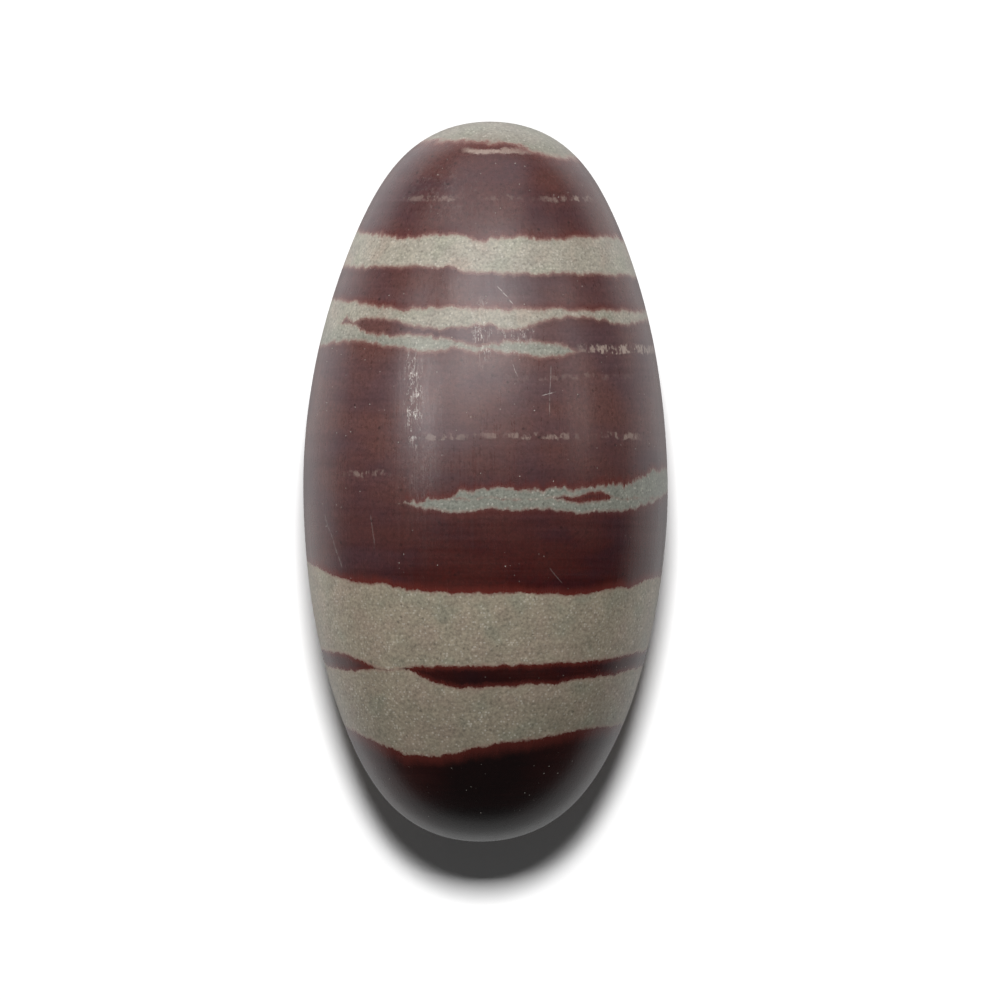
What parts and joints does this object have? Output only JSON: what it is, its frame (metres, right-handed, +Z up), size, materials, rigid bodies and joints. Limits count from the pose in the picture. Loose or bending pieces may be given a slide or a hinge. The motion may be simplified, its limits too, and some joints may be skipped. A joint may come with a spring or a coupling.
{
  "type": "lingam stone",
  "caption": "Egg-shaped polished stone of banded maroon and grey sandstone, lying on a small flat spot on its side.",
  "frame": {"origin": "in the plane of the flat spot that the stone rests on, under the middle of its bounding box", "axes": "+Y along the stone towards its narrower end, +X across it, +Z up from the flat spot"},
  "size_m": [0.0504, 0.1, 0.0473],
  "materials": {
    "banded_stone": "hand polished satin, maroon with grey beds"
  },
  "bodies": {
    "root": {"stone": "banded_stone"}
  },
  "joints": []
}
